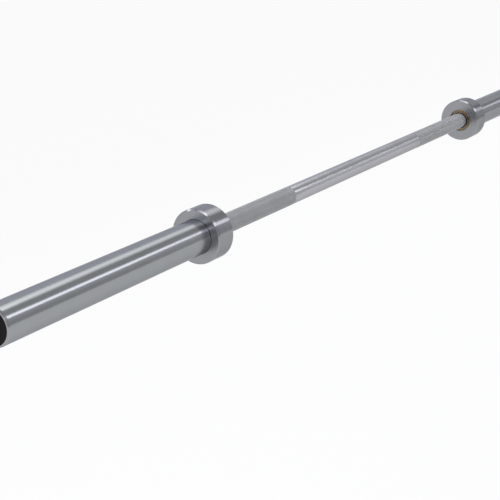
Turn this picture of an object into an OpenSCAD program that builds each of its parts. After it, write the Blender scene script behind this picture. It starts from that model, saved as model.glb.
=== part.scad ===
// Weightlifting bar: a solid steel shaft with a sleeve at each end that turns on bronze bushings.
// All sizes are in millimetres. The bar lies along X with its middle at the origin, and +Z is up.
// The pieces of one end are drawn along z, measured out from the inner face of its collar.

/* [Shaft] */
// Length of the grip, from one collar's inner face to the other's
grip_len = 910; // [820:5:1400]
// Diameter of the grip
grip_d = 28; // [26:0.5:30]
// Length of each knurled band
knurl_len = 220; // [100:5:390]
// Plain strip between a knurled band and its collar
knurl_margin = 3; // [1:0.5:12]
// Height of the knurled bands above the plain grip
knurl_rise = 0.2; // [0.05:0.05:0.4]
// Width of the slope at each end of a knurled band
knurl_slope = 0.6; // [0.2:0.1:1]
// Diameter of the turned-down ends that carry the sleeves
journal_d = 25; // [22:0.5:25.5]
// How far the grip reaches into the mouth of the bushing
shoulder_in = 2.2; // [2:0.1:2.8]
// Length of the shaft past the retaining ring
stub_len = 5; // [3:0.5:8]
// Chamfer on the ends of the shaft
shaft_chamfer = 1; // [0.5:0.25:1.5]

/* [Sleeve] */
// Length of the sleeve that takes the plates
load_len = 415; // [300:5:450]
// Outside diameter of the sleeve
sleeve_d = 50; // [48:0.5:52]
// Bore of the sleeve, which holds the bushings
sleeve_bore = 32; // [30:0.5:34]
// Length of the tapered nose at the end of the sleeve
nose_len = 3.5; // [1:0.5:6]
// Drop of the tapered nose
nose_drop = 1; // [0.4:0.1:1.2]
// Width of the relief groove beside the collar
relief_w = 0.6; // [0.4:0.1:2]
// Depth of the relief groove
relief_drop = 0.3; // [0.2:0.1:0.6]
// Diameter of the pocket in the sleeve's end
pocket_d = 44.8; // [43:0.2:45]

/* [Collar] */
// Diameter of the collar
collar_d = 78; // [70:1:90]
// Width of the collar
collar_w = 37; // [20:1:40]
// Thickness of the lip behind the collar's inner face
lip_t = 9; // [7:0.5:12]
// Step on the sleeve that the collar is pressed up to
spigot_drop = 1; // [0.7:0.1:1.5]
// Depth of the recess in the collar's outer face that takes the step
recess_depth = 1.5; // [1:0.25:3]
// Clearance round the sleeve's relief in the recess
recess_clear = 0.1; // [0.05:0.05:0.3]
// Broken edge on the recess
recess_edge = 0.5; // [0.2:0.1:0.8]
// Gap between the sleeve's hidden end and the collar's lip
spigot_gap = 0.1; // [0.05:0.05:0.3]
// Chamfer on the rims of the collar
collar_edge = 2.25; // [0.5:0.25:3]

/* [Bushings] */
// Length of each bushing
bushing_len = 60; // [30:5:90]
// Diameter of the inner bushing's flange, which shows in the collar's face
flange_d = 41; // [38:0.5:46]
// Thickness of the inner bushing's flange
flange_t = 5; // [4:0.5:6]
// Diameter of the outer bushing's flange
outer_flange_d = 40; // [37:0.5:42]
// Thickness of the outer bushing's flange
outer_flange_t = 3; // [2:0.5:5]
// Running clearance between a journal and its bushing, on the radius
run_clear = 0.05; // [0.02:0.01:0.1]
// Broken edge on the inner bushing's flange, its mouth and its seat
edge_break = 0.4; // [0.2:0.1:0.8]

/* [Seal] */
// Thickness of the rubber ring in the mouth of the bushing
seal_t = 1.3; // [1:0.1:1.6]
// Clearance on each side of the rubber ring
seal_clear = 0.1; // [0.05:0.01:0.15]
// Depth of the rubber ring's outer side below the collar's face
seal_in = 0.4; // [0.2:0.1:0.6]

/* [Washers] */
// Thickness of the washer at the shaft's shoulder
inner_washer_t = 1; // [0.5:0.1:1.5]
// Thickness of the washer outside the outer bushing
outer_washer_t = 2; // [1:0.25:3]
// Diameter of the washer outside the outer bushing
outer_washer_d = 36; // [33:0.5:38]
// Radial clearance of what slides over a journal
slip_clear = 0.1; // [0.05:0.05:0.3]
// Axial play of the sleeve at each washer
end_play = 0.1; // [0.05:0.05:0.3]

/* [Wave spring] */
// Diameter of the wave spring
spring_d = 33; // [31:0.5:36]
// Height of the wave spring as fitted
spring_h = 2.2; // [1.5:0.1:3]
// Thickness of the wave spring's strip
spring_t = 0.5; // [0.3:0.1:0.8]
// Number of waves round the spring
spring_waves = 3; // [3:1:5]

/* [Retaining ring] */
// Thickness of the retaining ring
ring_t = 1.2; // [1:0.1:2]
// Depth of the groove that the ring snaps into
groove_depth = 0.55; // [0.4:0.05:1]
// Width of the groove beyond the ring's thickness
groove_play = 0.1; // [0.05:0.05:0.2]
// Radial width of the ring
ring_w = 2.6; // [2:0.1:3.5]
// Radius of the ears at the ring's ends
ear_r = 2.4; // [2:0.1:3]
// Diameter of the plier holes in the ears
ear_hole_d = 2; // [1.5:0.1:2.5]
// Opening between the ring's ends
ring_gap = 3; // [2:0.5:5]

/* [End cap] */
// Thickness of the cap's face
cap_t = 4; // [2.5:0.25:6]
// Depth of the cap's face below the sleeve's end
cap_recess = 1; // [0.25:0.25:2]
// Room between the shaft's end and the cap
cap_room = 2; // [1:0.5:5]
// Length of the skirt behind the cap's face
skirt_len = 8; // [4:0.5:10]
// Wall of the skirt
skirt_wall = 2.4; // [1.5:0.1:2.6]
// Width of the raised rim round the cap's face
cap_rim_w = 2; // [1:0.25:4]
// Depth of the face inside the rim
cap_sink = 0.6; // [0.2:0.1:1.2]
// Broken edge on the cap's rim
cap_edge = 0.4; // [0.2:0.1:0.6]

/* [Hidden] */
$fn = 96;

grip_r = grip_d / 2;
journal_r = journal_d / 2;
bore_r = journal_r + run_clear;
slip_r = journal_r + slip_clear;
sleeve_r = sleeve_d / 2;
spigot_r = sleeve_r - spigot_drop;
relief_r = sleeve_r - relief_drop;
step_z = collar_w - recess_depth;
pocket_r = pocket_d / 2;
mouth_r = grip_r + seal_t + 2 * seal_clear;
mouth_depth = shoulder_in + inner_washer_t + end_play;

// Places along one end, counted in from the open end of the sleeve
sleeve_end = collar_w + load_len;
cap_face_z = sleeve_end - cap_recess;
cap_back_z = cap_face_z - cap_t;
shaft_end_z = cap_back_z - cap_room;
ring_z = shaft_end_z - stub_len - ring_t;
spring_z = ring_z - spring_h;
outer_washer_z = spring_z - outer_washer_t;
pocket_z = outer_washer_z - end_play - outer_flange_t;

steps_per_wave = 24;
spring_steps = steps_per_wave * spring_waves;
// How far a cut runs past what it cuts
over = 1;

// One piece of an end, turned so that its z runs along +X
module at_right() {
  translate([grip_len / 2, 0, 0]) rotate([0, 90, 0]) children();
}

module at_left() {
  mirror([1, 0, 0]) at_right() children();
}

// A turned piece from its outline in [radius, z] points
module turned(outline) {
  rotate_extrude() polygon(outline);
}

// A turned ring from its two radii and its two ends
module turned_ring(r_in, r_out, z_low, z_high) {
  turned([[r_in, z_low], [r_out, z_low], [r_out, z_high], [r_in, z_high]]);
}

// Outline of the shaft's right end, from its knurled band outwards, in [radius, x] points
function shaft_end_outline() =
  let (
    start = grip_len / 2,
    knurl_r = grip_r + knurl_rise,
    groove_r = journal_r - groove_depth,
    groove_x = start + ring_z - groove_play / 2,
    groove_end = groove_x + ring_t + groove_play,
    end = start + shaft_end_z
  )
  [
    [grip_r, start - knurl_margin - knurl_len],
    [knurl_r, start - knurl_margin - knurl_len + knurl_slope],
    [knurl_r, start - knurl_margin - knurl_slope],
    [grip_r, start - knurl_margin],
    [grip_r, start + shoulder_in],
    [journal_r, start + shoulder_in],
    [journal_r, groove_x],
    [groove_r, groove_x],
    [groove_r, groove_end],
    [journal_r, groove_end],
    [journal_r, end - shaft_chamfer],
    [journal_r - shaft_chamfer, end],
    [0, end]
  ];

// The shaft is one bar, turned from one outline that runs from its left end to its right end
module shaft() {
  right = shaft_end_outline();
  left = [for (i = [len(right) - 1 : -1 : 0]) [right[i].x, -right[i].y]];
  color("#8d9195") rotate([0, 90, 0]) turned(concat(left, right));
}

// Tube that the plates slide onto, with a spigot for the collar and a pocket for the end cap
module sleeve() {
  color("#a3a8ac") turned([
    [sleeve_bore / 2, lip_t + spigot_gap],
    [spigot_r, lip_t + spigot_gap],
    [spigot_r, step_z],
    [relief_r, step_z],
    [relief_r, collar_w + relief_w],
    [sleeve_r, collar_w + relief_w],
    [sleeve_r, sleeve_end - nose_len],
    [sleeve_r - nose_drop, sleeve_end],
    [pocket_r, sleeve_end],
    [pocket_r, pocket_z],
    [sleeve_bore / 2, pocket_z]
  ]);
}

// Stop collar pressed onto the sleeve, with a seat for the bushing's flange in its inner face
module collar() {
  rim_r = collar_d / 2;
  seat_r = flange_d / 2;
  recess_r = relief_r + recess_clear;
  color("#999ea2") turned([
    [seat_r + edge_break, 0],
    [rim_r - collar_edge, 0],
    [rim_r, collar_edge],
    [rim_r, collar_w - collar_edge],
    [rim_r - collar_edge, collar_w],
    [recess_r + recess_edge, collar_w],
    [recess_r, collar_w - recess_edge],
    [recess_r, step_z],
    [spigot_r, step_z],
    [spigot_r, lip_t],
    [sleeve_bore / 2, lip_t],
    [sleeve_bore / 2, flange_t],
    [seat_r, flange_t],
    [seat_r, edge_break]
  ]);
}

// Flanged bushing in the collar, with a mouth for the seal and the shaft's shoulder
module inner_bushing() {
  flange_r = flange_d / 2;
  color("#a8793e") turned([
    [mouth_r, edge_break],
    [mouth_r + edge_break, 0],
    [flange_r - edge_break, 0],
    [flange_r, edge_break],
    [flange_r, flange_t],
    [sleeve_bore / 2, flange_t],
    [sleeve_bore / 2, bushing_len],
    [bore_r, bushing_len],
    [bore_r, mouth_depth],
    [mouth_r, mouth_depth]
  ]);
}

// Flanged bushing at the open end of the sleeve
module outer_bushing() {
  flange_z = pocket_z + outer_flange_t;
  color("#a8793e") turned([
    [bore_r, flange_z - bushing_len],
    [sleeve_bore / 2, flange_z - bushing_len],
    [sleeve_bore / 2, pocket_z],
    [outer_flange_d / 2, pocket_z],
    [outer_flange_d / 2, flange_z],
    [bore_r, flange_z]
  ]);
}

// Rubber ring that keeps dust out of the inner bushing
module dust_seal() {
  centre_r = grip_r + seal_clear + seal_t / 2;
  color("#1c1c1e") translate([0, 0, seal_in + seal_t / 2])
    rotate_extrude() translate([centre_r, 0]) circle(d = seal_t);
}

// Washer between the shaft's shoulder and the floor of the bushing's mouth
module inner_washer() {
  color("#8a8d91") turned_ring(slip_r, grip_r, shoulder_in, shoulder_in + inner_washer_t);
}

// Washer that the outer bushing bears on
module outer_washer() {
  color("#8a8d91")
    turned_ring(slip_r, outer_washer_d / 2, outer_washer_z, outer_washer_z + outer_washer_t);
}

// Spring washer of thin strip, whose crests touch the washer and the retaining ring in turn
module wave_spring() {
  outer_r = spring_d / 2;
  lift = spring_h - spring_t;
  points = [
    for (i = [0:spring_steps - 1])
      let (a = 360 * i / spring_steps, z = spring_z + lift * (1 - cos(spring_waves * a)) / 2)
        for (corner = [[slip_r, z], [outer_r, z], [outer_r, z + spring_t], [slip_r, z + spring_t]])
          [corner[0] * cos(a), corner[0] * sin(a), corner[1]]
  ];
  faces = [
    for (i = [0:spring_steps - 1], k = [0:3])
      let (
        here = 4 * i,
        next = 4 * ((i + 1) % spring_steps),
        side = (k + 1) % 4
      )
        for (half = [[here + k, next + side, next + k], [here + k, here + side, next + side]])
          half
  ];
  color("#6f7378") polyhedron(points, faces);
}

// Ring that snaps into the shaft's groove, with an ear and a plier hole at each end
module retaining_ring() {
  seat_r = journal_r - groove_depth;
  outer_r = seat_r + ring_w;
  ear_x = ring_gap / 2 + ear_r;
  ear_y = outer_r + ear_r / 2;
  color("#55585c") translate([0, 0, ring_z]) difference() {
    union() {
      cylinder(r = outer_r, h = ring_t);
      for (side = [-1, 1])
        translate([side * ear_x, ear_y, 0]) cylinder(r = ear_r, h = ring_t);
    }
    translate([0, 0, -over]) cylinder(r = seat_r, h = ring_t + 2 * over);
    translate([-ring_gap / 2, 0, -over]) cube([ring_gap, 2 * outer_r, ring_t + 2 * over]);
    for (side = [-1, 1])
      translate([side * ear_x, ear_y, -over]) cylinder(d = ear_hole_d, h = ring_t + 2 * over);
  }
}

// Moulded cap pressed into the sleeve's pocket, with a bare sunk face inside its rim
module end_cap() {
  face_r = pocket_r - cap_rim_w;
  skirt_r = pocket_r - skirt_wall;
  color("#17181a") turned([
    [0, cap_back_z],
    [skirt_r, cap_back_z],
    [skirt_r, cap_back_z - skirt_len],
    [pocket_r, cap_back_z - skirt_len],
    [pocket_r, cap_face_z - cap_edge],
    [pocket_r - cap_edge, cap_face_z],
    [face_r, cap_face_z],
    [face_r - cap_sink, cap_face_z - cap_sink],
    [0, cap_face_z - cap_sink]
  ]);
}

module left_sleeve() { at_left() sleeve(); }
module left_collar() { at_left() collar(); }
module left_inner_bushing() { at_left() inner_bushing(); }
module left_outer_bushing() { at_left() outer_bushing(); }
module left_dust_seal() { at_left() dust_seal(); }
module left_inner_washer() { at_left() inner_washer(); }
module left_outer_washer() { at_left() outer_washer(); }
module left_wave_spring() { at_left() wave_spring(); }
module left_retaining_ring() { at_left() retaining_ring(); }
module left_end_cap() { at_left() end_cap(); }
module right_sleeve() { at_right() sleeve(); }
module right_collar() { at_right() collar(); }
module right_inner_bushing() { at_right() inner_bushing(); }
module right_outer_bushing() { at_right() outer_bushing(); }
module right_dust_seal() { at_right() dust_seal(); }
module right_inner_washer() { at_right() inner_washer(); }
module right_outer_washer() { at_right() outer_washer(); }
module right_wave_spring() { at_right() wave_spring(); }
module right_retaining_ring() { at_right() retaining_ring(); }
module right_end_cap() { at_right() end_cap(); }

shaft();
left_sleeve();
left_collar();
left_inner_bushing();
left_outer_bushing();
left_dust_seal();
left_inner_washer();
left_outer_washer();
left_wave_spring();
left_retaining_ring();
left_end_cap();
right_sleeve();
right_collar();
right_inner_bushing();
right_outer_bushing();
right_dust_seal();
right_inner_washer();
right_outer_washer();
right_wave_spring();
right_retaining_ring();
right_end_cap();
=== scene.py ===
import math

import bmesh
import bpy
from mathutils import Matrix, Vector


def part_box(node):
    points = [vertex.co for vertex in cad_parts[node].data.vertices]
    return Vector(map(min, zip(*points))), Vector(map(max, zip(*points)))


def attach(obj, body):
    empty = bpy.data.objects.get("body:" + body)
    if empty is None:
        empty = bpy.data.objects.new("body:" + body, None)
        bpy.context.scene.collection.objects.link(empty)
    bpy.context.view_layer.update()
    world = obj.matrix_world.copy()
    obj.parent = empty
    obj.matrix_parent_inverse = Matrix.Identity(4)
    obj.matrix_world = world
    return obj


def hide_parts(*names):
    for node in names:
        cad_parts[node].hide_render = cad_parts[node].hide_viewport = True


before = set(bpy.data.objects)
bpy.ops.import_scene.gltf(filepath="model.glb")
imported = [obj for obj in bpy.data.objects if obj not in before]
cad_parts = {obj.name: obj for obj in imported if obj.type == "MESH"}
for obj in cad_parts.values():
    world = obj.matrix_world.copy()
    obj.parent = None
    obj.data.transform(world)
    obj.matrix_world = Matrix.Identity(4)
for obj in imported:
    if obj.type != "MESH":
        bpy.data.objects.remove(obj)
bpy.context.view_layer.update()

# Shaft
# The one solid bar that everything else is fitted to: a spring-steel rod, ground and hard-chromed, with
# a knurled band beside each collar, a plain middle, and a journal turned down inside each sleeve.
mm = 0.001
grip_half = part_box("right_collar")[0].x
shaft_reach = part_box("shaft")[1].x - grip_half
grip_r = 14 * mm
journal_r = 12.5 * mm
shoulder_in = 2.2 * mm
stub_len = 5 * mm
ring_groove_w = 1.3 * mm
ring_groove_depth = 0.55 * mm
shaft_chamfer = 1 * mm
knurl_margin = 3 * mm
knurl_len = 220 * mm
knurl_crest_r = 14.2 * mm
knurl_root_r = 13.88 * mm
knurl_columns = 112
knurl_angle = math.radians(30)
side_signs = {"left": -1, "right": 1}
edge_grey = "#C8C8CC"
mark_low = 0.7
mark_high = 1.3
mark_blur = 0.18


def linear(hex_colour):
    """A colour written as sRGB hex, as the linear values that a shader takes."""
    parts = [int(hex_colour[i : i + 2], 16) / 255 for i in (1, 3, 5)]
    return tuple(c / 12.92 if c <= 0.04045 else ((c + 0.055) / 1.055) ** 2.4 for c in parts) + (1.0,)


def add_node(tree, kind, inputs=None, **settings):
    """Adds a node with its settings, and links or sets each of the inputs that are named."""
    made = tree.nodes.new(kind)
    for setting, value in settings.items():
        setattr(made, setting, value)
    for socket, value in (inputs or {}).items():
        if isinstance(value, bpy.types.NodeSocket):
            tree.links.new(value, made.inputs[socket])
        else:
            made.inputs[socket].default_value = value
    return made


def new_material(name):
    """An empty material, with its node tree and its output node."""
    material = bpy.data.materials.new(name)
    material.use_nodes = True
    material.node_tree.nodes.clear()
    return material, material.node_tree, add_node(material.node_tree, "ShaderNodeOutputMaterial")


def steel(name, colour, roughness, mark_pitch, mark_depth, tone=0.06, cloud=30 * mm, brushed=0.7):
    """Cut or ground steel. The tool's marks are rings that follow the lathe: they go by the place along
    the bar on a round side, and by the distance from the axis on a face. Their fine grooves spread what
    is reflected across them, so the shader is rougher along the bar on a side, and outwards on a face."""
    material, tree, output = new_material(name)
    place = add_node(tree, "ShaderNodeTexCoord").outputs["Object"]
    along = add_node(tree, "ShaderNodeSeparateXYZ", {0: place}).outputs["X"]
    across = add_node(tree, "ShaderNodeVectorMath", {0: place, 1: (0, 1, 1)}, operation="MULTIPLY")
    radius = add_node(tree, "ShaderNodeVectorMath", {0: across.outputs[0]}, operation="LENGTH")
    path = add_node(tree, "ShaderNodeMath", {0: along, 1: radius.outputs["Value"]},
                    operation="ADD").outputs[0]
    marks = add_node(tree, "ShaderNodeTexNoise", {"W": path, "Scale": 1 / mark_pitch, "Detail": 3.0,
                     "Roughness": 0.6}, noise_dimensions="1D").outputs[0]
    clouds = add_node(tree, "ShaderNodeTexNoise", {"Vector": place, "Scale": 1 / cloud, "Detail": 4.0,
                      "Roughness": 0.55}).outputs[0]
    both = add_node(tree, "ShaderNodeMath", {0: marks, 1: clouds}, operation="ADD").outputs[0]
    shade = add_node(tree, "ShaderNodeMapRange", {0: both, 1: mark_low, 2: mark_high, 3: 1 - tone,
                     4: 1 + tone}).outputs[0]
    tint = add_node(tree, "ShaderNodeVectorMath", {0: linear(colour)[:3], 3: shade}, operation="SCALE")
    rough = add_node(tree, "ShaderNodeMapRange", {0: both, 1: mark_low, 2: mark_high,
                     3: roughness * (1 - mark_blur), 4: roughness * (1 + mark_blur)}).outputs[0]
    bump = add_node(tree, "ShaderNodeBump", {"Height": marks, "Distance": mark_depth}).outputs[0]
    outwards = add_node(tree, "ShaderNodeTexCoord").outputs["Normal"]
    groove = add_node(tree, "ShaderNodeVectorMath", {0: (1, 0, 0), 1: place},
                      operation="CROSS_PRODUCT").outputs[0]
    over = add_node(tree, "ShaderNodeVectorMath", {0: outwards, 1: groove},
                    operation="CROSS_PRODUCT").outputs[0]
    tangent = add_node(tree, "ShaderNodeVectorTransform", {0: over}, vector_type="VECTOR",
                       convert_from="OBJECT", convert_to="WORLD").outputs[0]
    tangent = add_node(tree, "ShaderNodeVectorMath", {0: tangent}, operation="NORMALIZE").outputs[0]
    shader = add_node(tree, "ShaderNodeBsdfPrincipled", {"Base Color": tint.outputs[0], "Metallic": 1.0,
                      "Roughness": rough, "Normal": bump, "Specular Tint": linear(edge_grey),
                      "Anisotropic": brushed, "Tangent": tangent})
    tree.links.new(shader.outputs[0], output.inputs["Surface"])
    return material


def rounded(outline, closed):
    """The outline's [along, radius, rounding] corners as points, each rounded corner as an arc. A point
    just outside each end of an arc holds the flat beside it flat where the surface is shaded."""
    hold = 0.04 * mm
    steps = 5
    points = []
    for i, corner in enumerate(outline):
        here = complex(corner[0], corner[1])
        rounding = corner[2] if len(corner) > 2 else 0
        if rounding == 0 or (not closed and i in (0, len(outline) - 1)):
            points.append(here)
            continue
        before = outline[i - 1]
        after = outline[(i + 1) % len(outline)]
        back = complex(before[0], before[1]) - here
        ahead = complex(after[0], after[1]) - here
        back /= abs(back)
        ahead /= abs(ahead)
        half = math.acos((back * ahead.conjugate()).real) / 2
        centre = here + (back + ahead) / abs(back + ahead) * rounding / math.sin(half)
        first = here + back * rounding / math.tan(half)
        last = here + ahead * rounding / math.tan(half)
        spoke = (last - centre) / (first - centre)
        turn = math.atan2(spoke.imag, spoke.real)
        points.append(first + back * hold)
        for k in range(steps + 1):
            points.append(centre + (first - centre) * complex(math.cos(turn * k / steps),
                          math.sin(turn * k / steps)))
        points.append(last + ahead * hold)
    return [(p.real, p.imag) for p in points]


def turn_rings(work, points, segments, closed):
    """Adds to the mesh the surface that a lathe would leave: the [x, radius] points turned about X."""
    rings = []
    for x, radius in points:
        count = 1 if radius < 1e-9 else segments
        angles = [2 * math.pi * k / segments for k in range(count)]
        rings.append([work.verts.new((x, radius * math.sin(a), radius * math.cos(a))) for a in angles])
    pairs = list(zip(rings, rings[1:] + rings[:1])) if closed else list(zip(rings, rings[1:]))
    for low, high in pairs:
        if len(low) == 1 and len(high) == 1:
            continue
        for k in range(segments):
            after = (k + 1) % segments
            corners = [low[k % len(low)], low[after % len(low)], high[after % len(high)], high[k % len(high)]]
            work.faces.new(list(dict.fromkeys(corners)))


def finished(work, name, materials, sharp=32):
    """The mesh as a piece of its own, its faces turned outwards, smooth except along its sharp edges."""
    bmesh.ops.remove_doubles(work, verts=work.verts, dist=1e-7)
    bmesh.ops.recalc_face_normals(work, faces=work.faces)
    for face in work.faces:
        face.smooth = True
    mesh = bpy.data.meshes.new(name)
    work.to_mesh(mesh)
    work.free()
    for material in materials:
        mesh.materials.append(material)
    mesh.set_sharp_from_angle(angle=math.radians(sharp))
    piece = bpy.data.objects.new(name, mesh)
    bpy.context.scene.collection.objects.link(piece)
    return piece


def at_end(sign, outline):
    """An outline given outwards from the collar's inner face, moved to that end of the bar."""
    return [(sign * (grip_half + corner[0]),) + tuple(corner[1:]) for corner in outline]


def knurl_tree():
    """Nodes for a band of knurling: a grid bent round the bar, whose corners are crests and roots by
    turns, so that two sets of helical grooves leave diamonds standing between them."""
    tree = bpy.data.node_groups.new("knurled_band", "GeometryNodeTree")
    face = tree.interface
    face.new_socket("Geometry", in_out="OUTPUT", socket_type="NodeSocketGeometry")
    for label in ("Start", "Length", "Crest radius", "Root radius", "Ground radius"):
        face.new_socket(label, in_out="INPUT", socket_type="NodeSocketFloat")
    for label in ("Columns", "Rows"):
        face.new_socket(label, in_out="INPUT", socket_type="NodeSocketInt")
    face.new_socket("Finish", in_out="INPUT", socket_type="NodeSocketMaterial")
    size = add_node(tree, "NodeGroupInput").outputs

    def maths(operation, a, b=0.0, c=0.0):
        return add_node(tree, "ShaderNodeMath", {0: a, 1: b, 2: c}, operation=operation).outputs[0]

    columns, rows = size["Columns"], size["Rows"]
    grid = add_node(tree, "GeometryNodeMeshGrid", {"Size X": 1.0, "Size Y": 1.0,
                    "Vertices X": maths("ADD", columns, 1.0), "Vertices Y": maths("ADD", rows, 1.0)})
    place = add_node(tree, "GeometryNodeInputPosition").outputs[0]
    spot = add_node(tree, "ShaderNodeSeparateXYZ", {0: place})
    column = maths("ROUND", maths("MULTIPLY", maths("ADD", spot.outputs["X"], 0.5), columns))
    row = maths("ROUND", maths("MULTIPLY", maths("ADD", spot.outputs["Y"], 0.5), rows))
    is_root = maths("MODULO", maths("ADD", column, row), 2.0)
    cut = add_node(tree, "ShaderNodeMapRange", {0: is_root, 3: size["Crest radius"], 4: size["Root radius"]})
    from_end = maths("MINIMUM", row, maths("SUBTRACT", rows, row))
    fade = maths("MINIMUM", from_end, 1.0)
    radius = add_node(tree, "ShaderNodeMapRange", {0: fade, 3: size["Ground radius"], 4: cut.outputs[0]})
    angle = maths("MULTIPLY", maths("DIVIDE", column, columns), 2 * math.pi)
    x = maths("MULTIPLY_ADD", maths("DIVIDE", row, rows), size["Length"], size["Start"])
    bent = add_node(tree, "ShaderNodeCombineXYZ", {0: x,
                    1: maths("MULTIPLY", radius.outputs[0], maths("SINE", angle)),
                    2: maths("MULTIPLY", radius.outputs[0], maths("COSINE", angle))})
    wrapped = add_node(tree, "GeometryNodeSetPosition", {"Geometry": grid.outputs[0],
                       "Position": bent.outputs[0]})
    split = add_node(tree, "GeometryNodeTriangulate", {0: wrapped.outputs[0]},
                     quad_method="SHORTEST_DIAGONAL")
    welded = add_node(tree, "GeometryNodeMergeByDistance", {"Geometry": split.outputs[0], "Distance": 1e-6})
    real = add_node(tree, "GeometryNodeRealizeInstances", {0: welded.outputs[0]})
    dressed = add_node(tree, "GeometryNodeSetMaterial", {"Geometry": real.outputs[0],
                       "Material": size["Finish"]})
    add_node(tree, "NodeGroupOutput", {"Geometry": dressed.outputs[0]})
    return tree


def grown(tree, name, **values):
    """The mesh that a node tree grows with these inputs, as plain data with no modifier left."""
    carrier = bpy.data.objects.new(name, bpy.data.meshes.new(name))
    bpy.context.scene.collection.objects.link(carrier)
    nodes = carrier.modifiers.new(name, "NODES")
    nodes.node_group = tree
    sockets = {item.name: item.identifier for item in tree.interface.items_tree if item.in_out == "INPUT"}
    for label, value in values.items():
        nodes[sockets[label.replace("_", " ")]] = value
    ready = carrier.evaluated_get(bpy.context.evaluated_depsgraph_get())
    mesh = bpy.data.meshes.new_from_object(ready)
    bpy.data.objects.remove(carrier)
    return mesh


# Hard-chromed spring steel, ground between centres: grey and satin, with hardly a mark left.
ground_chrome = steel("ground_chromed_steel", "#BABABD", 0.27, 30 * mm, 0.0004 * mm, tone=0.015,
                      cloud=60 * mm)


def knurled_steel():
    """The same steel where the knurl is rolled in, with painted shade: its colour darkens towards the roots
    and lightens towards the crests, in patches that differ at random.
    """
    material, tree, output = new_material("knurled_chromed_steel")
    place = add_node(tree, "ShaderNodeTexCoord").outputs["Object"]
    across = add_node(tree, "ShaderNodeVectorMath", {0: place, 1: (0, 1, 1)}, operation="MULTIPLY")
    radius = add_node(tree, "ShaderNodeVectorMath", {0: across.outputs[0]}, operation="LENGTH")
    depth = add_node(tree, "ShaderNodeMapRange", {0: radius.outputs["Value"], 1: knurl_root_r,
                     2: knurl_crest_r}).outputs[0]
    patches = add_node(tree, "ShaderNodeTexNoise", {"Vector": place, "Scale": 1 / (18 * mm), "Detail": 4.0,
                       "Roughness": 0.6}).outputs[0]
    # Painted shade: the colour is darker towards the roots of the knurl and lighter towards its crests, mixed
    # with random patches.
    painted_root_shade = add_node(tree, "ShaderNodeMath", {0: patches, 1: 0.35, 2: depth}, operation="MULTIPLY_ADD")
    tint = add_node(tree, "ShaderNodeMix", {0: painted_root_shade.outputs[0], 6: linear("#87888A"), 7: linear("#C0C1C3")},
                    data_type="RGBA").outputs[2]
    rough = add_node(tree, "ShaderNodeMapRange", {0: depth, 3: 0.62, 4: 0.5}).outputs[0]
    shader = add_node(tree, "ShaderNodeBsdfPrincipled", {"Base Color": tint, "Metallic": 1.0,
                      "Roughness": rough, "Specular Tint": linear(edge_grey)})
    tree.links.new(shader.outputs[0], output.inputs["Surface"])
    return material


knurled_chrome = knurled_steel()
knurl_inner = -knurl_margin - knurl_len
knurl_row = math.pi * (knurl_crest_r + knurl_root_r) / knurl_columns / 2 / math.tan(knurl_angle)
knurl_rows = 2 * round(knurl_len / knurl_row / 2)
groove_end = shaft_reach - stub_len
groove_start = groove_end - ring_groove_w
shaft_end_outline = [
    (shaft_reach, 0),
    (shaft_reach, journal_r - shaft_chamfer, 0.2 * mm),
    (shaft_reach - shaft_chamfer, journal_r, 0.2 * mm),
    (groove_end, journal_r),
    (groove_end, journal_r - ring_groove_depth),
    (groove_start, journal_r - ring_groove_depth),
    (groove_start, journal_r),
    (shoulder_in, journal_r),
    (shoulder_in, grip_r, 0.15 * mm),
    (-knurl_margin, grip_r),
]
shaft_work = bmesh.new()
band_tree = knurl_tree()
for side, sign in side_signs.items():
    turn_rings(shaft_work, rounded(at_end(sign, shaft_end_outline), False), knurl_columns, False)
    ends = sorted((sign * (grip_half - knurl_margin), sign * (grip_half + knurl_inner)))
    band = grown(band_tree, side + "_knurl", Start=ends[0], Length=knurl_len, Crest_radius=knurl_crest_r,
                 Root_radius=knurl_root_r, Ground_radius=grip_r, Columns=knurl_columns, Rows=knurl_rows,
                 Finish=knurled_chrome)
    plain_faces = len(shaft_work.faces)
    shaft_work.from_mesh(band)
    shaft_work.faces.ensure_lookup_table()
    for face in shaft_work.faces[plain_faces:]:
        face.material_index = 1
middle = [(k * (grip_half + knurl_inner) / 4, grip_r) for k in range(-4, 5)]
turn_rings(shaft_work, middle, knurl_columns, False)
shaft = finished(shaft_work, "shaft_bar", [ground_chrome, knurled_chrome], sharp=20)
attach(shaft, "bar")
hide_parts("shaft")

# Sleeves
# The thick tubes that the plates slide onto: steel, turned and polished on the lathe, with a tapered nose
# at the open end, a pocket for the cap, and a relief groove where they are pressed into the collar.
sleeve_r = 25 * mm
sleeve_bore_r = 16 * mm
spigot_r = 24 * mm
spigot_start = 9.1 * mm
spigot_step = 35.5 * mm
relief_r = 24.7 * mm
relief_end = 37.6 * mm
nose_len = 3.5 * mm
nose_r = 24 * mm
pocket_r = 22.4 * mm
sleeve_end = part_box("right_sleeve")[1].x - grip_half
pocket_floor = sleeve_end - 20.5 * mm

# Turned and polished steel: mirror-like lengthwise bands of light, softened by rings round the tube.
sleeve_steel = steel("turned_polished_steel", "#9DA0A2", 0.2, 2.2 * mm, 0.002 * mm, tone=0.04, brushed=0.5)
sleeve_outline = [
    (spigot_start, sleeve_bore_r, 0.3 * mm),
    (spigot_start, spigot_r, 0.3 * mm),
    (spigot_step, spigot_r),
    (spigot_step, relief_r),
    (relief_end, relief_r),
    (relief_end, sleeve_r, 0.2 * mm),
    (sleeve_end / 2, sleeve_r),
    (sleeve_end - nose_len, sleeve_r, 1.5 * mm),
    (sleeve_end, nose_r, 0.35 * mm),
    (sleeve_end, pocket_r, 0.3 * mm),
    (pocket_floor, pocket_r),
    (pocket_floor, sleeve_bore_r, 0.3 * mm),
]


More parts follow.
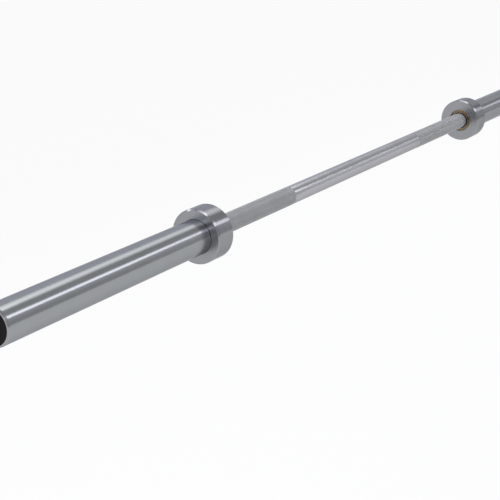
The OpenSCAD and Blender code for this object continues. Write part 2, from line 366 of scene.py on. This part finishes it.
def turned_piece(side, name, node, outline, materials, body=None, segments=128, sharp=32):
    """A turned piece at one end of the bar, which rides on that end's sleeve and replaces its CAD node.
    Where it has a second material, its faces across the bar take that one."""
    work = bmesh.new()
    turn_rings(work, rounded(at_end(side_signs[side], outline), outline[0][1] > 0), segments,
               outline[0][1] > 0)
    piece = finished(work, side + "_" + name, materials, sharp)
    for face in piece.data.polygons:
        if len(materials) > 1 and abs(face.normal.x) > 0.9:
            face.material_index = 1
    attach(piece, body or side + "_sleeve_assembly")
    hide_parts(side + "_" + node)
    return piece


for side in side_signs:
    turned_piece(side, "plate_sleeve", "sleeve", sleeve_outline, [sleeve_steel], segments=160)

# Stop collars
# The wide rings that the plates rest against: steel, turned all over and chamfered on both rims, pressed
# onto the sleeve's spigot. A recess in the outer face takes the sleeve, one in the inner face the bushing.
collar_r = 39 * mm
collar_w = 37 * mm
collar_edge = 2.25 * mm
edge_round = 0.3 * mm
seat_r = 20.5 * mm
seat_depth = 5 * mm
seat_edge = 0.4 * mm
lip_end = 9 * mm
recess_r = 24.8 * mm
recess_edge = 0.5 * mm

# Turned steel: the rim and its chamfers are finished fine and shine. The faces are left from the tool, and
# their rings show as soft bands.
rim_steel = steel("turned_steel", "#97989B", 0.18, 2.4 * mm, 0.003 * mm, tone=0.05, brushed=0.5)
faced_steel = steel("faced_steel", "#97989B", 0.27, 3 * mm, 0.003 * mm, tone=0.07, brushed=0.6)
collar_outline = [
    (0, seat_r + seat_edge, 0.1 * mm),
    (0, collar_r - collar_edge, edge_round),
    (collar_edge, collar_r, edge_round),
    (collar_w - collar_edge, collar_r, edge_round),
    (collar_w, collar_r - collar_edge, edge_round),
    (collar_w, recess_r + recess_edge, 0.1 * mm),
    (collar_w - recess_edge, recess_r, 0.1 * mm),
    (spigot_step, recess_r),
    (spigot_step, spigot_r),
    (lip_end, spigot_r),
    (lip_end, sleeve_bore_r),
    (seat_depth, sleeve_bore_r),
    (seat_depth, seat_r),
    (seat_edge, seat_r, 0.1 * mm),
]
for side in side_signs:
    turned_piece(side, "stop_collar", "collar", collar_outline, [rim_steel, faced_steel],
                 segments=160)

# Inner bushings
# Flanged plain bearings, pressed and sintered from bronze powder and soaked in oil, pushed into the
# collar. Only the flange shows, with a raised lip round the mouth that holds the seal.
bushing_len = 60 * mm
bore_r = 12.55 * mm
mouth_r = 15.5 * mm
mouth_depth = 3.3 * mm


def sintered_bronze():
    """Oil-soaked bronze: brown gold, with dark open pores and darker patches where the oil stands."""
    material, tree, output = new_material("oiled_sintered_bronze")
    place = add_node(tree, "ShaderNodeTexCoord").outputs["Object"]
    pores = add_node(tree, "ShaderNodeTexNoise", {"Vector": place, "Scale": 1 / (0.8 * mm), "Detail": 3.0,
                     "Roughness": 0.7}).outputs[0]
    oil = add_node(tree, "ShaderNodeTexNoise", {"Vector": place, "Scale": 1 / (9 * mm), "Detail": 3.0,
                   "Roughness": 0.5}).outputs[0]
    grain = add_node(tree, "ShaderNodeMath", {0: pores, 1: oil}, operation="ADD").outputs[0]
    open_share = add_node(tree, "ShaderNodeMapRange", {0: grain, 1: 0.75, 2: 1.15}).outputs[0]
    tint = add_node(tree, "ShaderNodeMix", {0: open_share, 6: linear("#584C3E"), 7: linear("#A9947A")},
                    data_type="RGBA").outputs[2]
    rough = add_node(tree, "ShaderNodeMapRange", {0: grain, 1: 0.75, 2: 1.15, 3: 0.28, 4: 0.42}).outputs[0]
    bump = add_node(tree, "ShaderNodeBump", {"Height": pores, "Distance": 0.02 * mm}).outputs[0]
    shader = add_node(tree, "ShaderNodeBsdfPrincipled", {"Base Color": tint, "Metallic": 1.0,
                      "Roughness": rough, "Normal": bump})
    tree.links.new(shader.outputs[0], output.inputs["Surface"])
    return material


bronze = sintered_bronze()
lip_r = 17 * mm
lip_out = 1.4 * mm
lip_groove = 2 * mm
lip_groove_r = seat_r - 1.2 * mm
bushing_outline = [
    (-lip_out, mouth_r, 0.2 * mm),
    (-lip_out, lip_r, 0.4 * mm),
    (lip_groove, lip_r, 0.2 * mm),
    (lip_groove, lip_groove_r, 0.2 * mm),
    (0, lip_groove_r, 0.1 * mm),
    (0, seat_r - seat_edge, 0.1 * mm),
    (seat_edge, seat_r, 0.1 * mm),
    (seat_depth, seat_r),
    (seat_depth, sleeve_bore_r),
    (bushing_len, sleeve_bore_r, 0.3 * mm),
    (bushing_len, bore_r, 0.3 * mm),
    (mouth_depth, bore_r),
    (mouth_depth, mouth_r),
]
for side in side_signs:
    turned_piece(side, "flanged_bushing", "inner_bushing", bushing_outline, [bronze])

# Dust seals
# A nitrile rubber ring in the mouth of each inner bushing, which keeps chalk and dust out of the bearing.
# It is moulded round, and sits in the groove between the bronze and the shaft.
seal_d = 1.3 * mm
seal_gap = 0.1 * mm
seal_in = 0.4 * mm
seal_points = 16


def nitrile_rubber():
    """Moulded black rubber: dull, with a soft bloom of dust over it."""
    material, tree, output = new_material("moulded_nitrile_rubber")
    place = add_node(tree, "ShaderNodeTexCoord").outputs["Object"]
    bloom = add_node(tree, "ShaderNodeTexNoise", {"Vector": place, "Scale": 1 / (4 * mm), "Detail": 4.0,
                     "Roughness": 0.6}).outputs[0]
    tint = add_node(tree, "ShaderNodeMix", {0: bloom, 6: linear("#1A1816"), 7: linear("#37322C")},
                    data_type="RGBA").outputs[2]
    rough = add_node(tree, "ShaderNodeMapRange", {0: bloom, 1: 0.3, 2: 0.7, 3: 0.5, 4: 0.68}).outputs[0]
    shader = add_node(tree, "ShaderNodeBsdfPrincipled", {"Base Color": tint, "Roughness": rough, "IOR": 1.52})
    tree.links.new(shader.outputs[0], output.inputs["Surface"])
    return material


rubber = nitrile_rubber()
seal_angles = [2 * math.pi * k / seal_points for k in range(seal_points)]
seal_outline = [
    (seal_in + seal_d / 2 * (1 - math.cos(a)), grip_r + seal_gap + seal_d / 2 * (1 + math.sin(a)))
    for a in seal_angles
]
for side in side_signs:
    turned_piece(side, "seal_ring", "dust_seal", seal_outline, [rubber], sharp=60)

# End caps
# Moulded caps of hard black plastic, pressed into the sleeves' pockets a little below their ends. Each has
# a skirt that grips the pocket, and a plain sunk face inside a narrow rim.
cap_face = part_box("right_end_cap")[1].x - grip_half
cap_t = 4 * mm
cap_skirt_len = 8 * mm
cap_skirt_r = 20 * mm
cap_rim_w = 2 * mm
cap_sink = 0.6 * mm


def moulded_plastic():
    """Hard moulded plastic: black and glossy, with the faint waves that a moulded face has."""
    material, tree, output = new_material("glossy_moulded_plastic")
    place = add_node(tree, "ShaderNodeTexCoord").outputs["Object"]
    waves = add_node(tree, "ShaderNodeTexNoise", {"Vector": place, "Scale": 1 / (7 * mm),
                     "Detail": 2.0}).outputs[0]
    dust = add_node(tree, "ShaderNodeTexNoise", {"Vector": place, "Scale": 1 / (2 * mm), "Detail": 5.0,
                    "Roughness": 0.7}).outputs[0]
    tint = add_node(tree, "ShaderNodeMix", {0: dust, 6: linear("#060607"), 7: linear("#0C0D0E")},
                    data_type="RGBA").outputs[2]
    rough = add_node(tree, "ShaderNodeMapRange", {0: dust, 1: 0.3, 2: 0.7, 3: 0.14, 4: 0.24}).outputs[0]
    bump = add_node(tree, "ShaderNodeBump", {"Height": waves, "Distance": 0.05 * mm}).outputs[0]
    shader = add_node(tree, "ShaderNodeBsdfPrincipled", {"Base Color": tint, "Roughness": rough, "IOR": 1.49,
                      "Specular IOR Level": 0.12, "Normal": bump})
    tree.links.new(shader.outputs[0], output.inputs["Surface"])
    return material


cap_plastic = moulded_plastic()
cap_outline = [
    (cap_face - cap_t, 0),
    (cap_face - cap_t, cap_skirt_r, 0.5 * mm),
    (cap_face - cap_t - cap_skirt_len, cap_skirt_r, 0.3 * mm),
    (cap_face - cap_t - cap_skirt_len, pocket_r, 0.3 * mm),
    (cap_face, pocket_r, 0.5 * mm),
    (cap_face, pocket_r - cap_rim_w, 0.3 * mm),
    (cap_face - cap_sink, pocket_r - cap_rim_w - cap_sink, 0.5 * mm),
    (cap_face - cap_sink, 0),
]
for side in side_signs:
    turned_piece(side, "cap", "end_cap", cap_outline, [cap_plastic])

# Parts inside the sleeves
# The outer bushing, the ground washers on both sides of the bearings, the wave spring that takes up their
# play, and the ring that is snapped into the shaft's groove. They keep their solids and get real finishes.
washer_steel = steel("ground_washer_steel", "#8A8C90", 0.3, 0.8 * mm, 0.002 * mm, tone=0.05)
spring_steel = steel("phosphated_spring_steel", "#46474B", 0.5, 0.6 * mm, 0.004 * mm, tone=0.15, cloud=3 * mm)
inner_finishes = {
    "outer_bushing": bronze,
    "inner_washer": washer_steel,
    "outer_washer": washer_steel,
    "wave_spring": spring_steel,
    "retaining_ring": spring_steel,
}
for side in side_signs:
    for node, material in inner_finishes.items():
        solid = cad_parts[side + "_" + node]
        solid.data.materials.clear()
        solid.data.materials.append(material)

# Floor and light
# A white floor well below the bar, as if the bar were held in a stand, under a plain grey surround. Long
# soft lamps run beside the bar, so that polished steel shows clean bands of light along its length.
floor_drop = 0.8
floor_half = 60.0
floor_shine = 0.92
floor_lit = 12.5
floor_dim = 20.0
surround_grey = 0.52
surround_tint = "#FCFCFF"


def studio_floor():
    """White paper. What looks at it, straight or in polished steel, sees it near white, and far off it
    fades into the grey surround. The rest of it is plain and takes the bar's shadow."""
    material, tree, output = new_material("white_paper_floor")
    rays = add_node(tree, "ShaderNodeLightPath").outputs
    looks = add_node(tree, "ShaderNodeMath", {0: rays["Is Camera Ray"], 1: rays["Is Glossy Ray"]},
                     operation="MAXIMUM").outputs[0]
    looks = add_node(tree, "ShaderNodeMath", {0: looks, 1: rays["Is Transmission Ray"]},
                     operation="MAXIMUM").outputs[0]
    place = add_node(tree, "ShaderNodeTexCoord").outputs["Object"]
    reach = add_node(tree, "ShaderNodeVectorMath", {0: place}, operation="LENGTH").outputs["Value"]
    strength = add_node(tree, "ShaderNodeMapRange", {0: reach, 1: floor_lit, 2: floor_dim, 3: 1.0,
                        4: surround_grey}, interpolation_type="SMOOTHSTEP").outputs[0]
    share = add_node(tree, "ShaderNodeMath", {0: looks, 1: floor_shine}, operation="MULTIPLY").outputs[0]
    paper = add_node(tree, "ShaderNodeBsdfDiffuse", {"Color": linear("#F4F4F4")}).outputs[0]
    glow = add_node(tree, "ShaderNodeEmission", {"Color": linear("#FFFFFF"), "Strength": strength}).outputs[0]
    mixed = add_node(tree, "ShaderNodeMixShader", {0: share, 1: paper, 2: glow}).outputs[0]
    tree.links.new(mixed, output.inputs["Surface"])
    return material


floor_mesh = bpy.data.meshes.new("floor")
floor_signs = ((-1, -1), (1, -1), (1, 1), (-1, 1))
floor_corners = [(x * floor_half, y * floor_half, -floor_drop) for x, y in floor_signs]
floor_mesh.from_pydata(floor_corners, [], [(0, 1, 2, 3)])
floor_mesh.materials.append(studio_floor())
floor = bpy.data.objects.new("floor", floor_mesh)
bpy.context.scene.collection.objects.link(floor)

world = bpy.data.worlds.new("plain_surround")
world.use_nodes = True
world.node_tree.nodes["Background"].inputs["Color"].default_value = linear(surround_tint)
world.node_tree.nodes["Background"].inputs["Strength"].default_value = surround_grey
bpy.context.scene.world = world


def long_lamp(name, angle, spread, ends, brightness, colour, distance=1.5):
    """A soft lamp that runs along the bar. The angle is measured round the bar from the front, upwards,
    and the spread is how wide the lamp looks from the bar's axis."""
    data = bpy.data.lights.new(name, "AREA")
    data.shape = "RECTANGLE"
    data.size = ends[1] - ends[0]
    data.size_y = 2 * distance * math.tan(math.radians(spread) / 2)
    data.energy = brightness * math.pi * data.size * data.size_y
    data.color = linear(colour)[:3]
    lamp = bpy.data.objects.new(name, data)
    bpy.context.scene.collection.objects.link(lamp)
    turn = math.radians(angle)
    lamp.location = ((ends[0] + ends[1]) / 2, -distance * math.cos(turn), distance * math.sin(turn))
    lamp.rotation_euler = (math.pi / 2 - turn, 0, 0)
    lamp.visible_camera = False


# What the camera sees in the steel lies far to the right of where it is seen, so most lamps reach past the
# right end. The gap in them keeps the near nose dark, and the lamps left of it light what the collars' faces
# show of their surroundings.
lamp_parts = {"left_end": (-3.8, -2.0, 1.6), "left": (-2.0, -0.95, 1.0), "right": (-0.4, 1.8, 1.0)}
for part, (start, end, boost) in lamp_parts.items():
    long_lamp("overhead_softbox_" + part, 101, 35, (start, end), 0.85 * boost, "#F8FAFA")
    long_lamp("overhead_core_" + part, 101, 15, (start, end), 0.55 * boost, "#F8FAFA", distance=1.4)
    long_lamp("front_strip_" + part, 42, 13, (start, end), 2.2 * boost, "#F6F6FF")
long_lamp("front_fill", 28, 20, (-0.4, 1.8), 0.1, "#F2F2FF")
long_lamp("left_end_panel", 12, 60, (-3.8, -2.2), 0.8, "#F2F2FF")
long_lamp("left_end_back_panel", 150, 50, (-3.8, -2.2), 0.9, "#E8ECFF")
long_lamp("overhead_far", 101, 35, (1.9, 3.85), 0.25, "#F8FAFA")
long_lamp("overhead_far_end", 98, 46, (3.85, 6.0), 0.48, "#F8FAFA")
long_lamp("front_far_panel", 12, 50, (1.9, 3.1), 0.57, "#F2F2FC")
long_lamp("far_strip", 44, 18, (3.85, 6.0), 2.1, "#F6F6FF")
long_lamp("far_panel", 20, 34, (3.85, 6.0), 0.3, "#F6F6FF")
long_lamp("back_fill", 155, 62, (-4.0, 5.5), 0.45, "#E8ECFF")
long_lamp("rim_light_left", 88, 14, (-2.2, -1.0), 1.8, "#F8FAFA", distance=1.3)
long_lamp("rim_light_right", 88, 14, (-0.3, 0.3), 1.4, "#F8FAFA", distance=1.3)
long_lamp("rim_light_back", 142, 8, (-1.1, -0.5), 2.5, "#F8FAFA", distance=1.3)

# Camera
# It looks down along the bar from beyond the left end and from the front, so the left sleeve is near.
lens = 95.50
camera_place = (-1.9461, -0.9482, 0.5053)
camera_down = 16.798
camera_turn = -59.341
camera_reach = 200
camera = bpy.data.objects.new("camera", bpy.data.cameras.new("camera"))
camera.data.lens = lens
camera.data.sensor_width = 36
camera.data.clip_end = camera_reach
camera.location = camera_place
camera.rotation_euler = (math.radians(90 - camera_down), 0, math.radians(camera_turn))
bpy.context.scene.collection.objects.link(camera)
bpy.context.scene.camera = camera
bpy.context.scene.view_settings.view_transform = "Standard"
